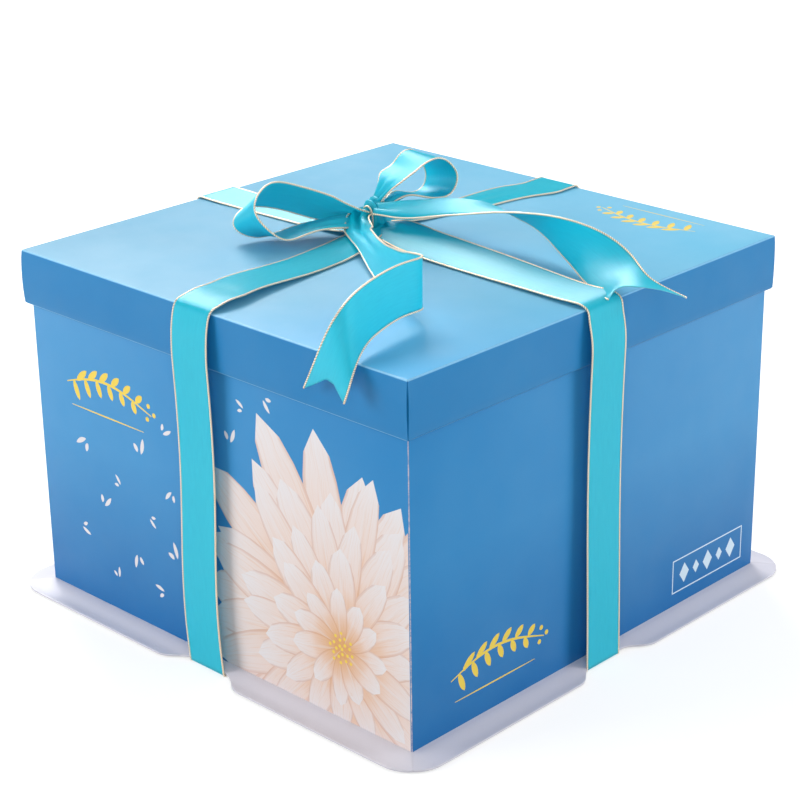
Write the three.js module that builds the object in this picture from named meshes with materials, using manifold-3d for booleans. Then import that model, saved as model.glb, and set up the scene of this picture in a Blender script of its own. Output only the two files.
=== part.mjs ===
// A square telescoping cake box: a white tray with a notched brim, a wall sleeve, a deep lid,
// a round cake board inside, and a wide ribbon tied round it all with a bow on top.
// Millimetres, +Z up, origin on the table under the box's centre.
import * as THREE from "three";
import { mergeVertices } from "three/addons/utils/BufferGeometryUtils.js";
import Module from "manifold-3d";

const wasm = await Module();
wasm.setup();

// Lid
const lidWidth = 270; // outside, square
const skirtDepth = 28.5; // from the top's outer face
const cardThickness = 0.6; // printed card of the lid and the walls
const tabLength = 26; // corner tabs behind the left and right skirts
const hemDepth = 25; // turned-in part of each skirt
const hemEndInset = 5; // the hems stop short of the corners
const lidPlay = 0.75; // between the lid's innermost layer and the walls
const cornerSlit = 0.3; // between the ends of neighbouring skirts

// Walls
const wallHeight = 184.9;
const glueFlapWidth = 16;

// Tray
const trayThickness = 1;
const trayPlay = 0.35; // between the tray's sides and the walls
const deckHeight = 12; // the deck's top above the walls' foot
const brimReach = 15.25; // from the walls' outer face to the brim's edge
const brimFall = 1.5; // from the walls' foot to the brim's edge
const brimShelf = 2.5; // level stretch of the brim under the sides and walls
const brimLand = 3.5; // level stretch of the brim's underside along its edge
const brimCornerRadius = 20;
const mitreGap = 0.3;
const notchDepth = 8;
const notchMouth = 52;
const notchFloor = 32;
const notchRadius = 4;

// Cake board
const boardDiameter = 228;
const boardThickness = 2.5;
const boardRound = 0.5; // rounded rim

// Ribbon
const ribbonWidth = 25;
const ribbonThickness = 0.4;
const ribbonGap = 0.3; // between stretches of the ribbon that touch on the real box
const leftLoopReach = 60;
const backLoopReach = 40;
const knotLength = 15;
const knotWidth = 12;
const knotHeight = 15;
const knotRise = 14; // the knot's middle above the lid
const knotOffset = 13; // the knot lies left of the lid's middle
const bendStandoff = 2.2; // the ribbon stands off the lid where it bends over its edge
const runLift = 0.6; // the ribbon's height above the lid near its edge
const cutOverrun = 5; // for cutting tools

// Counts
const loopSteps = 40;
const tailSteps = 44;
const bendSteps = 3;
const notchSteps = 6;

const half = lidWidth / 2;
const wallHalf = half - 3 * cardThickness - lidPlay;
const wallInner = wallHalf - cardThickness;
const trayHalf = wallInner - trayPlay;
const brimHalf = wallHalf + brimReach;
const brimTop = brimFall + trayThickness; // the walls' foot
const wallTop = brimTop + wallHeight;
const lidTop = wallTop + cardThickness;
const deckTop = brimTop + deckHeight;
const notchLine = brimHalf - notchDepth;

const group = new THREE.Group();
const printedCard = { color: 0x4a97cf, roughness: 0.45, metalness: 0 };
const lidCard = { color: 0x8fcdec, roughness: 0.45, metalness: 0 };
const whiteCard = { color: 0xe9e6e6, roughness: 0.6, metalness: 0 };
const plainBoard = { color: 0xd9d2c6, roughness: 0.8, metalness: 0 };
const satin = { color: 0x4cc4da, roughness: 0.3, metalness: 0 };

function add(name, geometry, look, x = 0, y = 0, z = 0) {
  const mesh = new THREE.Mesh(geometry, new THREE.MeshStandardMaterial(look));
  mesh.name = name;
  mesh.position.set(x, y, z);
  group.add(mesh);
  return mesh;
}

// A plain panel between two corners
function panel(name, low, high, look) {
  const size = high.map((value, axis) => value - low[axis]);
  const middle = high.map((value, axis) => (value + low[axis]) / 2);
  return add(name, new THREE.BoxGeometry(...size), look, ...middle);
}

// The four sides of the box: out is the side's outward direction, along runs beside it
const sides = {
  front: { out: [0, -1], along: [1, 0] },
  right: { out: [1, 0], along: [0, 1] },
  back: { out: [0, 1], along: [1, 0] },
  left: { out: [-1, 0], along: [0, 1] },
};

// A point given as its distance outwards and along a side, and its height
function place(side, out, along, up) {
  return [0, 1].map((axis) => side.out[axis] * out + side.along[axis] * along).concat(up);
}

// A panel that stands on a side, from inner to outer, along from start to end
function sidePanel(name, side, inner, outer, start, end, low, high, look) {
  const a = place(side, inner, start, low);
  const b = place(side, outer, end, high);
  const lowest = a.map((value, axis) => Math.min(value, b[axis]));
  const highest = a.map((value, axis) => Math.max(value, b[axis]));
  panel(name, lowest, highest, look);
}

function toSolid(geometry) {
  const bare = geometry.clone();
  bare.deleteAttribute("normal");
  bare.deleteAttribute("uv");
  const merged = mergeVertices(bare);
  return new wasm.Manifold(new wasm.Mesh({
    numProp: 3,
    vertProperties: new Float32Array(merged.attributes.position.array),
    triVerts: new Uint32Array(merged.index.array),
  }));
}

function toGeometry(solid) {
  const mesh = solid.getMesh();
  const geometry = new THREE.BufferGeometry();
  geometry.setAttribute("position", new THREE.BufferAttribute(new Float32Array(mesh.vertProperties), 3));
  geometry.setIndex(new THREE.BufferAttribute(new Uint32Array(mesh.triVerts), 1));
  return geometry;
}

// A closed outline whose corners [x, y, radius] are rounded
function roundedShape(corners) {
  const shape = new THREE.Shape();
  corners.forEach(([x, y, radius], i) => {
    const corner = new THREE.Vector2(x, y);
    if (radius === 0) {
      if (i === 0) shape.moveTo(x, y);
      else shape.lineTo(x, y);
      return;
    }
    const [before, after] = [corners.length - 1, 1].map((step) => {
      const other = corners[(i + step) % corners.length];
      return new THREE.Vector2(other[0], other[1]).sub(corner).normalize();
    });
    const spread = Math.acos(THREE.MathUtils.clamp(before.dot(after), -1, 1)) / 2;
    const centre = before.clone().add(after).setLength(radius / Math.sin(spread)).add(corner);
    const reach = radius / Math.tan(spread);
    const [start, end] = [before, after].map((way) => way.setLength(reach).add(corner).sub(centre));
    shape.absarc(centre.x, centre.y, radius, start.angle(), end.angle(), start.cross(end) < 0);
  });
  return shape;
}

// A cutting tool for the brim: a shape that stands from below it to above it
function upright(shape) {
  const depth = brimTop + 2 * cutOverrun;
  const options = { depth, bevelEnabled: false, curveSegments: notchSteps };
  const geometry = new THREE.ExtrudeGeometry(shape, options);
  geometry.translate(0, 0, -cutOverrun);
  return geometry;
}

// The brim's outline, a rounded square with a notch in the middle of each side
function brimOutline() {
  const corners = [];
  for (let turn = 0; turn < 4; turn++) {
    const angle = (turn * Math.PI) / 2;
    const stops = [
      [brimHalf, -brimHalf, brimCornerRadius],
      [brimHalf, -notchMouth / 2, notchRadius],
      [notchLine, -notchFloor / 2, notchRadius],
      [notchLine, notchFloor / 2, notchRadius],
      [brimHalf, notchMouth / 2, notchRadius],
    ];
    for (const [x, y, radius] of stops) {
      const point = new THREE.Vector2(x, y).rotateAround(new THREE.Vector2(), angle);
      corners.push([point.x, point.y, radius]);
    }
  }
  return roundedShape(corners);
}

// One mitred stretch of the brim, on the right: its section, run along the side, is cut to its outline
function brimStretch() {
  const inner = trayHalf - trayThickness;
  const shelf = inner + brimShelf;
  const section = new THREE.Shape([
    new THREE.Vector2(inner, brimTop - trayThickness),
    new THREE.Vector2(shelf, brimTop - trayThickness),
    new THREE.Vector2(brimHalf - brimLand, 0),
    new THREE.Vector2(brimHalf, 0),
    new THREE.Vector2(brimHalf, trayThickness),
    new THREE.Vector2(brimHalf - brimLand, trayThickness),
    new THREE.Vector2(shelf, brimTop),
    new THREE.Vector2(inner, brimTop),
  ]);
  const run = new THREE.ExtrudeGeometry(section, { depth: 2 * brimHalf, bevelEnabled: false });
  run.rotateX(Math.PI / 2);
  run.translate(0, brimHalf, 0);
  const wedge = new THREE.Shape([
    new THREE.Vector2(mitreGap, 0),
    new THREE.Vector2(brimHalf + mitreGap, -brimHalf),
    new THREE.Vector2(brimHalf + mitreGap, brimHalf),
  ]);
  const outlined = toSolid(run).intersect(toSolid(upright(brimOutline())));
  return toGeometry(outlined.intersect(toSolid(upright(wedge))));
}

function makeTray() {
  const deckLow = [-trayHalf, -trayHalf, deckTop - trayThickness];
  panel("tray_deck", deckLow, [trayHalf, trayHalf, deckTop], whiteCard);
  const turns = { right: 0, back: 1, left: 2, front: 3 };
  for (const [name, side] of Object.entries(sides)) {
    const reach = side.out[0] === 0 ? trayHalf : trayHalf - trayThickness;
    sidePanel(`tray_side_${name}`, side, trayHalf - trayThickness, trayHalf, -reach, reach,
      brimTop, deckTop - trayThickness, whiteCard);
    add(`tray_brim_${name}`, brimStretch(), whiteCard).rotation.z = (turns[name] * Math.PI) / 2;
  }
}

function makeBoard() {
  const radius = boardDiameter / 2;
  const profile = [
    [0, 0],
    [radius - boardRound, 0],
    [radius, boardRound],
    [radius, boardThickness - boardRound],
    [radius - boardRound, boardThickness],
    [0, boardThickness],
  ].map(([x, y]) => new THREE.Vector2(x, y));
  const board = new THREE.LatheGeometry(profile, 72);
  board.rotateX(Math.PI / 2);
  add("cake_board", board, plainBoard, 0, 0, deckTop);
}

function makeWalls() {
  for (const [name, side] of Object.entries(sides)) {
    const reach = side.out[0] === 0 ? wallHalf : wallInner;
    sidePanel(`wall_${name}`, side, wallInner, wallHalf, -reach, reach, brimTop, wallTop, printedCard);
  }
  sidePanel("wall_glue_flap", sides.left, wallInner - cardThickness, wallInner,
    wallInner - glueFlapWidth, wallInner, deckTop + trayPlay, wallTop, printedCard);
}

function makeLid() {
  panel("lid_top", [-half, -half, wallTop], [half, half, lidTop], lidCard);
  const foot = lidTop - skirtDepth;
  for (const [name, side] of Object.entries(sides)) {
    const across = side.out[0] === 0;
    const reach = across ? half : half - cardThickness - cornerSlit;
    sidePanel(`lid_skirt_${name}`, side, half - cardThickness, half, -reach, reach, foot, wallTop, lidCard);
    const hemOuter = across ? half - cardThickness : half - 2 * cardThickness;
    sidePanel(`lid_hem_${name}`, side, hemOuter - cardThickness, hemOuter,
      hemEndInset - half, half - hemEndInset, foot, foot + hemDepth, printedCard);
    if (across) continue;
    for (const [end, sign] of [["front", -1], ["back", 1]]) {
      const far = sign * (half - cardThickness);
      sidePanel(`lid_tab_${end}_${name}`, side, half - 2 * cardThickness, half - cardThickness,
        far, far - sign * tabLength, foot, foot + hemDepth, printedCard);
    }
  }
}

// A strip of ribbon through stations { at, across, width }.
// A cut shortens it by a length at each place across.
function stripGeometry(stations, columns = [-1, 1], cuts = null) {
  const lengths = [0];
  for (let i = 1; i < stations.length; i++) {
    lengths.push(lengths[i - 1] + stations[i].at.distanceTo(stations[i - 1].at));
  }
  const total = lengths[lengths.length - 1];
  const sample = (distance) => {
    let i = 1;
    while (i < lengths.length - 1 && lengths[i] < distance) i++;
    const t = (distance - lengths[i - 1]) / (lengths[i] - lengths[i - 1]);
    const [a, b] = [stations[i - 1], stations[i]];
    const normals = [a, b].map((station) => station.normal);
    return {
      at: a.at.clone().lerp(b.at, t),
      across: a.across.clone().lerp(b.across, t).normalize(),
      normal: normals[0].clone().lerp(normals[1], t).normalize(),
      width: a.width + (b.width - a.width) * t,
    };
  };
  stations.forEach((station, i) => {
    const ahead = stations[Math.min(i + 1, stations.length - 1)].at;
    const behind = stations[Math.max(i - 1, 0)].at;
    station.across.normalize();
    station.normal = ahead.clone().sub(behind).cross(station.across).normalize();
  });
  const positions = [];
  const rows = stations.length;
  for (const face of [1, -1]) {
    for (let i = 0; i < rows; i++) {
      columns.forEach((column, j) => {
        const kept = cuts ? (total - cuts[j]) / total : 1;
        const s = sample(lengths[i] * kept);
        const point = s.at.addScaledVector(s.across, (column * s.width) / 2);
        point.addScaledVector(s.normal, (face * ribbonThickness) / 2);
        positions.push(point.x, point.y, point.z);
      });
    }
  }
  const across = columns.length;
  const corner = (face, i, j) => (face * rows + i) * across + j;
  const index = [];
  const quad = (a, b, c, d) => index.push(a, b, c, a, c, d);
  for (let i = 0; i < rows - 1; i++) {
    for (let j = 0; j < across - 1; j++) {
      quad(corner(0, i, j), corner(0, i + 1, j), corner(0, i + 1, j + 1), corner(0, i, j + 1));
      quad(corner(1, i, j), corner(1, i, j + 1), corner(1, i + 1, j + 1), corner(1, i + 1, j));
    }
    quad(corner(0, i, 0), corner(1, i, 0), corner(1, i + 1, 0), corner(0, i + 1, 0));
    const last = across - 1;
    quad(corner(0, i, last), corner(0, i + 1, last), corner(1, i + 1, last), corner(1, i, last));
  }
  const end = rows - 1;
  for (let j = 0; j < across - 1; j++) {
    quad(corner(0, 0, j), corner(0, 0, j + 1), corner(1, 0, j + 1), corner(1, 0, j));
    quad(corner(0, end, j), corner(1, end, j), corner(1, end, j + 1), corner(0, end, j + 1));
  }
  const geometry = new THREE.BufferGeometry();
  geometry.setAttribute("position", new THREE.BufferAttribute(new Float32Array(positions), 3));
  geometry.setIndex(index);
  return geometry;
}

// Stations from rows of shares: place out, along and up, direction across, and width, each in its own unit
function stationsFrom(rows, origin, reach) {
  return rows.map(([x, y, z, acrossX, acrossY, acrossZ, width]) => ({
    at: new THREE.Vector3(origin[0] + x * reach, origin[1] + y * reach, lidTop + z * ribbonWidth),
    across: new THREE.Vector3(acrossX, acrossY, acrossZ),
    width: width * ribbonWidth,
  }));
}

// The same stations with a smooth curve through them, in equal steps
function smooth(stations, steps) {
  const path = new THREE.CatmullRomCurve3(stations.map((station) => station.at), false, "centripetal");
  const directions = stations.map((station) => station.across.clone().normalize());
  const turn = new THREE.CatmullRomCurve3(directions, false, "catmullrom");
  const result = [];
  for (let i = 0; i <= steps; i++) {
    const t = path.getUtoTmapping(i / steps);
    const before = Math.min(Math.floor(t * (stations.length - 1)), stations.length - 2);
    const part = t * (stations.length - 1) - before;
    result.push({
      at: path.getPoint(t),
      across: turn.getPoint(t).normalize(),
      width: THREE.MathUtils.lerp(stations[before].width, stations[before + 1].width, part),
    });
  }
  return result;
}

// The knot, a small rounded bundle, and what the strips leave free round it
function knotGeometry(margin) {
  const ball = new THREE.SphereGeometry(1, 24, 16);
  ball.scale(knotLength / 2 + margin, knotWidth / 2 + margin, knotHeight / 2 + margin);
  ball.translate(-knotOffset, 0, lidTop + knotRise);
  return ball;
}

function outsideKnot(geometry) {
  const parts = toSolid(geometry).subtract(toSolid(knotGeometry(ribbonGap))).decompose();
  parts.sort((a, b) => b.volume() - a.volume());
  return toGeometry(parts[0]);
}

// Bow tables: x and y in shares of the piece's reach, height above the lid in shares of the ribbon's width,
// the direction across the ribbon, and its width in shares
const leftLoopShares = [
  [-0.06, -0.04, 0.68, 0.5, -0.8, 0.3, 0.4],
  [-0.16, -0.16, 0.56, 0.55, -0.6, 0.6, 0.72],
  [-0.3, -0.27, 0.6, 0.5, -0.4, 0.75, 0.93],
  [-0.58, -0.49, 0.82, 0.6, -0.3, 0.75, 1],
  [-0.69, -0.64, 0.92, 0.65, -0.25, 0.7, 1],
  [-0.72, -0.81, 0.87, 0.8, -0.2, 0.6, 1],
  [-0.67, -0.94, 0.59, 0.82, -0.15, 0.54, 1],
  [-0.56, -0.87, 0.31, 0.82, -0.37, 0.44, 1],
  [-0.46, -0.72, 0.2, 0.84, -0.52, 0.14, 1],
  [-0.36, -0.55, 0.3, 0.84, -0.53, 0.09, 0.93],
  [-0.25, -0.37, 0.37, 0.84, -0.54, 0.02, 0.72],
  [-0.08, -0.1, 0.4, 0.78, -0.5, -0.3, 0.36],
];
const backLoopShares = [
  [0, 0.05, 0.68, 0.5, -0.84, 0.24, 0.36],
  [-0.01, 0.09, 0.96, 0.9, -0.44, 0.07, 0.68],
  [0.01, 0.19, 1.19, 0.95, -0.31, 0.04, 0.93],
  [0.06, 0.36, 1.34, 0.95, -0.31, 0.09, 1],
  [0.1, 0.52, 1.52, 0.97, -0.24, 0.04, 1],
  [0.14, 0.71, 1.55, 0.98, -0.21, 0.05, 1],
  [0.17, 0.85, 1.35, 0.98, -0.12, 0.12, 1],
  [0.2, 0.93, 1.06, 0.99, -0.09, 0.1, 1],
  [0.2, 0.86, 0.79, 0.98, -0.16, 0.09, 1],
  [0.18, 0.67, 0.71, 0.98, -0.19, 0.12, 1],
  [0.12, 0.49, 0.77, 0.96, -0.24, 0.12, 0.93],
  [0.07, 0.29, 0.84, 0.94, -0.29, 0.16, 0.72],
  [0.03, 0.08, 0.68, 0.83, -0.37, 0.2, 0.4],
];
const frontTailShares = [
  [-0.105, -0.03, 0.64, 0.97, -0.1, 0.2, 0.3],
  [-0.115, -0.08, 0.61, 0.97, -0.15, 0.3, 0.5],
  [-0.055, -0.163, 0.54, 0.89, -0.2, 0.4, 0.86],
  [0.022, -0.215, 0.44, 0.865, -0.256, 0.433, 1],
  [0.126, -0.276, 0.42, 0.85, -0.25, 0.47, 1],
  [0.26, -0.36, 0.43, 0.74, -0.13, 0.66, 1],
  [0.42, -0.455, 0.52, 0.5, 0, 0.86, 1],
  [0.58, -0.53, 0.66, 0.06, 0.04, 1, 1],
  [0.66, -0.57, 0.74, -0.03, 0.04, 1, 1],
  [0.678, -0.67, 0.78, -0.05, 0.03, 1, 1],
  [0.695, -0.8, 0.75, -0.1, 0, 1, 1],
  [0.725, -0.925, 0.66, -0.17, -0.04, 0.97, 1],
  [0.755, -1.03, 0.4, -0.45, 0.02, 0.87, 1],
  [0.725, -1.065, -0.2, -0.8, 0.1, 0.56, 1],
  [0.655, -1.05, -0.88, -0.9, 0.03, 0.42, 1],
];
const rightTailShares = [
  [-0.07, -0.01, 0.56, 0.3, -0.9, -0.1, 0.36],
  [0.01, 0.04, 0.68, 0.1, -0.97, -0.05, 0.7],
  [0.12, 0.11, 0.74, 0, -0.98, -0.05, 1],
  [0.26, 0.155, 0.8, 0, -0.98, -0.05, 1],
  [0.38, 0.165, 0.83, 0.1, -0.98, 0.08, 1],
  [0.46, 0.16, 0.83, 0.27, -0.89, 0.37, 1],
  [0.55, 0.17, 0.82, 0.35, -0.71, 0.62, 1],
  [0.65, 0.18, 0.73, 0.42, -0.41, 0.81, 1],
  [0.76, 0.177, 0.58, 0.45, 0.1, 0.85, 1],
  [0.85, 0.15, 0.42, 0.35, 0.6, 0.65, 1],
  [0.95, 0.115, 0.34, 0.2, 0.87, 0.4, 1],
  [1.075, 0.09, 0.26, 0.1, 0.96, 0.2, 1],
];
// How far a swallow-tailed end is cut back at four places across, in shares of the ribbon's width
const tailColumnShares = [-1, -0.25, 0.3, 1];
const frontCutShares = [0.6, 0.7, 0.5, 0];
const rightCutShares = [0.5, 0.6, 0.24, 0];

function makeBow() {
  const knot = [-knotOffset, 0];
  add("ribbon_knot", knotGeometry(0), satin);
  const loops = [["left", leftLoopShares, leftLoopReach], ["back", backLoopShares, backLoopReach]];
  for (const [name, rows, reach] of loops) {
    const stations = smooth(stationsFrom(rows, knot, reach), loopSteps);
    add(`ribbon_loop_${name}`, outsideKnot(stripGeometry(stations, [-1, 0, 1])), satin);
  }
  const tails = [["front", frontTailShares, frontCutShares], ["right", rightTailShares, rightCutShares]];
  for (const [name, rows, cuts] of tails) {
    const stations = smooth(stationsFrom(rows, [0, 0], half), tailSteps);
    const lengths = cuts.map((share) => share * ribbonWidth);
    add(`ribbon_tail_${name}`, outsideKnot(stripGeometry(stations, tailColumnShares, lengths)), satin);
  }
}

// Bands: how far each lies beside its side's middle, at the lid's edge and at the notch,
// in shares of the ribbon's width
const bandShares = {
  front: { edge: -0.22, notch: 0 },
  right: { edge: -0.12, notch: -0.14 },
  back: { edge: -0.2, notch: 0 },
  left: { edge: -0.14, notch: 0 },
};
// Along a run on the lid: the way out from the knot to the lid's edge, the way over to the band's place
// at the edge, and the height and width in shares of the ribbon's width
const runShares = [
  [0.03, 0.03, 0.34, 0.25],
  [0.08, 0.08, 0.22, 0.6],
  [0.15, 0.15, 0.12, 0.88],
  [0.3, 0.3, 0.05, 1],
  [0.55, 0.58, 0.03, 1],
  [0.8, 0.87, 0.02, 1],
];

function bandStation(name, out, along, up, width, tilt = 0) {
  const side = sides[name];
  return {
    at: new THREE.Vector3(...place(side, out, along, up)),
    across: new THREE.Vector3(side.along[0], side.along[1], tilt),
    width,
  };
}

function makeBands() {
  const bendRadius = bendStandoff + ribbonThickness;
  for (const [name, offset] of Object.entries(bandShares)) {
    const atEdge = offset.edge * ribbonWidth;
    const side = sides[name];
    const knotOut = -knotOffset * side.out[0];
    const knotAlong = -knotOffset * side.along[0];
    const run = runShares.map(([out, over, up, width]) => bandStation(
      name,
      THREE.MathUtils.lerp(knotOut, half, out),
      THREE.MathUtils.lerp(knotAlong, atEdge, over),
      lidTop + runLift + up * ribbonWidth,
      width * ribbonWidth,
    ));
    run.push(bandStation(name, half - ribbonGap, atEdge, lidTop + bendStandoff, ribbonWidth));
    add(`ribbon_run_${name}`, outsideKnot(stripGeometry(run)), satin);
    const drop = [];
    for (let step = 0; step <= bendSteps; step++) {
      const angle = (step / bendSteps) * (Math.PI / 2);
      const up = lidTop - bendStandoff + 2 * bendStandoff * Math.cos(angle);
      drop.push(bandStation(name, half + bendRadius * Math.sin(angle), atEdge, up, ribbonWidth));
    }
    const atNotch = offset.notch * ribbonWidth;
    const notchOut = notchLine + ribbonThickness + ribbonGap;
    drop.push(bandStation(name, half + bendRadius, atEdge, lidTop - skirtDepth, ribbonWidth));
    drop.push(bandStation(name, notchOut, atNotch, brimTop, ribbonWidth));
    add(`ribbon_drop_${name}`, stripGeometry(drop), satin);
  }
}

// The two runs under the tray, whose ends turn up round the notches' floors
function makeUnderRuns() {
  const low = ribbonThickness / 2;
  const pass = low + ribbonThickness + ribbonGap; // one run passes over the other in the tray's hollow
  const out = notchLine + ribbonGap + low;
  const runs = [["across", "left", "right", low], ["along", "front", "back", pass]];
  for (const [name, start, end, middle] of runs) {
    const centre = (bandShares[start].notch + bandShares[end].notch) / 2;
    const ends = [start, end].map((side) => [
      [out, brimTop - ribbonGap - low],
      [out, low],
      [ribbonWidth * 2, low],
      [ribbonWidth, middle],
    ].map(([reach, up]) => {
      const along = THREE.MathUtils.lerp(centre, bandShares[side].notch, reach / out) * ribbonWidth;
      return bandStation(side, reach, along, up, ribbonWidth);
    }));
    add(`ribbon_under_${name}`, stripGeometry([...ends[0], ...ends[1].reverse()]), satin);
  }
}

makeTray();
makeBoard();
makeWalls();
makeLid();
makeUnderRuns();
makeBands();
makeBow();

export default group;
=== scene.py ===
"""Looks of a square cake box tied with a ribbon.

The lid and the walls are folded printed card, the tray is white card, and the satin ribbon ends in a bow.
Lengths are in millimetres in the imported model's frame, and turn into metres where a mesh is made.
A strip of ribbon is a row of stations: place, direction across, width, and how far it arches.
"""
import math
import random

import bmesh
import bpy
import numpy as np
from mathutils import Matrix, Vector, geometry


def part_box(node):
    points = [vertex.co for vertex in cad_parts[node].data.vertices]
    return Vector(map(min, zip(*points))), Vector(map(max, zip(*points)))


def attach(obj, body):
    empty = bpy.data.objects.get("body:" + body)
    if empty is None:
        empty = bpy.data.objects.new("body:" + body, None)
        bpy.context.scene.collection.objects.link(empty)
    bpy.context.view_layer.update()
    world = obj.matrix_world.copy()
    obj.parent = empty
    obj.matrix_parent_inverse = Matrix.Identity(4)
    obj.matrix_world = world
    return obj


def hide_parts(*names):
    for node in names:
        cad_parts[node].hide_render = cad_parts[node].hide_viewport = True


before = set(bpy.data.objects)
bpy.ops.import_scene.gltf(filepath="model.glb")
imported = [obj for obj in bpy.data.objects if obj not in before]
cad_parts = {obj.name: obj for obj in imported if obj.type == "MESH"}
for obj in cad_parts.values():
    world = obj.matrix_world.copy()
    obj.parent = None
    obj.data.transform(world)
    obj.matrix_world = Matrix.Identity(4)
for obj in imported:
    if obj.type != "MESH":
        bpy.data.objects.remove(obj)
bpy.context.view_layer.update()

MM = 0.001


def cad_box_of(node):
    """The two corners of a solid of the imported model, in millimetres."""
    return np.array(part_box(node)) / MM


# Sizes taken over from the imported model
HALF, _, LID_TOP = cad_box_of("lid_top")[1]
(_, skirt_outside, SKIRT_FOOT), (_, skirt_inside, _) = cad_box_of("lid_skirt_front")
CARD = skirt_inside - skirt_outside
_, _, HEM_TOP = cad_box_of("lid_hem_front")[1]
(_, _, WALL_FOOT), (WALL_HALF, _, WALL_TOP) = cad_box_of("wall_front")
(_, _, deck_foot), (TRAY_HALF, _, DECK_TOP) = cad_box_of("tray_deck")
TRAY_CARD = DECK_TOP - deck_foot
BRIM_HALF, _, BRIM_TOP = cad_box_of("tray_brim_right")[1]

# Folded card
FOLD = 0.8  # outer radius of a fold in the printed card
FOLD_STEPS = 5
HEM_LAYERS = {"front": 2, "back": 2, "right": 3, "left": 3}  # thicknesses of card across each hem's bend
HEM_SLACK = 0.06
HEM_STEPS = 6
HEM_INSET = 5
SEAM = 0.25  # half of the slit between two skirts
SEAM_BOW = 0.4  # how far the slit opens at half height
SKIRT_ROWS = 8
SIDE_COLUMNS = 24
# How far a skirt stands out at its start, in its middle and at its end
BULGE = {
    "front": (1.3, 0.3, 0.2),
    "right": (0.2, 0.3, 0.8),
    "back": (0.8, 0.3, 0.5),
    "left": (0.5, 0.3, 1.3),
}
SHARP = 40  # degrees; sharper edges aren't shaded smooth

# Wear, and on the lid a painted highlight along the folds: how far past a flat panel it begins, how far it
# reaches, and how strong it is
LID_HIGHLIGHT_PAST = 0.05
LID_HIGHLIGHT_DOWN = 0.8 * FOLD
HEM_HIGHLIGHT_UP = 0.35
WALL_WEAR_PAST = 0.1
WALL_WEAR_REACH = 0.45
MITRE_WEAR_REACH = 0.05
MITRE_WEAR = 0.5
DECK_WEAR_PAST = 0.2
DECK_WEAR_DOWN = 0.8
DECK_WEAR = 0.4

# Tray
TRAY_FOLD = 1.3
BRIM_SHELF = 2.5
BRIM_LAND = 3.5
BRIM_ROWS = 10
CORNER_RADIUS = 20
NOTCH_DEPTH = 8
NOTCH_MOUTH = 52
NOTCH_FLOOR = 32
NOTCH_RADIUS = 4
RIM_BEVEL = 0.3
RIM_ANGLE = 50
COLUMN_COUNTS = (22, 14, 16)  # in half a side: past the notch, to the deck's corner, to the brim's
DECK_ROWS = 4
DECK_COLUMNS = 6
DECK_GAP = 0.02  # between the deck's sides and the brim
DECK_THINNER = 0.05

# Ribbon
RIBBON = 25  # width, with its rope edges
RIBBON_CARD = 0.3
ROPE = 0.55  # radius of the rope along each edge
ROPE_STRAND = 0.3  # how far the rope's two strands show, as a share of its radius
ROPE_PITCH = 2.6  # length in which the strands go round once
ROPE_STEP = 0.5
ROPE_SIDES = 8
COLUMNS = 17
STEP = 1.6  # from one row of points to the next
PLEATS = 2.5  # half waves across a gathered stretch, from its middle to its edge
PLEAT = 3.4  # their height
GROOVE_AT = 0.1
GROOVE_SPREAD = 0.25
LOOK_AHEAD = 0.5  # the distance over which a strip's direction is taken
FULL_STATION = (1, 0, 0)  # width, arch and groove where a station doesn't give them
SQUARE_END = ((-1, 0), (1, 0))

UNIT = {
    "right": ((1, 0), (0, 1)),
    "back": ((0, 1), (-1, 0)),
    "left": ((-1, 0), (0, -1)),
    "front": ((0, -1), (1, 0)),
}
ROUND = ("front", "right", "back", "left")


def turned(side, out, along, up):
    """A point given by its distance outwards, sideways and up, for one of the four sides."""
    (ox, oy), (ax, ay) = UNIT[side]
    return (ox * out + ax * along, oy * out + ay * along, up)


def towards(angle, away=1):
    """The way from a middle to a place, at an angle in radians."""
    return away * np.array((math.cos(angle), math.sin(angle)))


def add_object(name, data):
    obj = bpy.data.objects.new(name, data)
    bpy.context.scene.collection.objects.link(obj)
    return obj


def new_object(name, points, faces, materials, indices=None, uvs=None):
    mesh = bpy.data.meshes.new(name)
    mesh.from_pydata([tuple(float(v) * MM for v in p) for p in points], [], faces)
    for material in materials:
        mesh.materials.append(material)
    if indices is not None:
        mesh.polygons.foreach_set("material_index", indices)
    if uvs is not None:
        layer = mesh.uv_layers.new(name="UVMap")
        layer.data.foreach_set("uv", [float(v) for uv in uvs for v in uv])
    return add_object(name, mesh)


def rework(obj, *steps):
    made = bmesh.new()
    made.from_mesh(obj.data)
    for step in steps:
        step(made)
    made.to_mesh(obj.data)
    made.free()


def weld(obj, distance=0.01):
    gap = distance * MM
    rework(obj, lambda made: bmesh.ops.remove_doubles(made, verts=made.verts, dist=gap),
           lambda made: bmesh.ops.dissolve_degenerate(made, edges=made.edges, dist=gap))


def modify(obj, kind, **settings):
    modifier = obj.modifiers.new(kind, kind)
    for key, value in settings.items():
        setattr(modifier, key, value)
    shaped = obj.evaluated_get(bpy.context.evaluated_depsgraph_get())
    mesh = bpy.data.meshes.new_from_object(shaped)
    obj.modifiers.clear()
    obj.data = mesh


def thicken(obj, thickness, back_slot=0, rim_slot=0, even=True, offset=-1):
    """Gives a skin its thickness. The slots shift the materials of its back and of its cut edges."""
    modify(obj, "SOLIDIFY", thickness=thickness * MM, offset=offset, use_even_offset=even,
           material_offset=back_slot, material_offset_rim=rim_slot)


def soften(obj):
    obj.data.shade_smooth()
    obj.data.set_sharp_from_angle(angle=math.radians(SHARP))


def dress(obj, body, slot, *nodes):
    """The piece moves with a body and stands for these solids. The slot is not used."""
    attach(obj, body)
    if nodes:
        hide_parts(*nodes)


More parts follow.
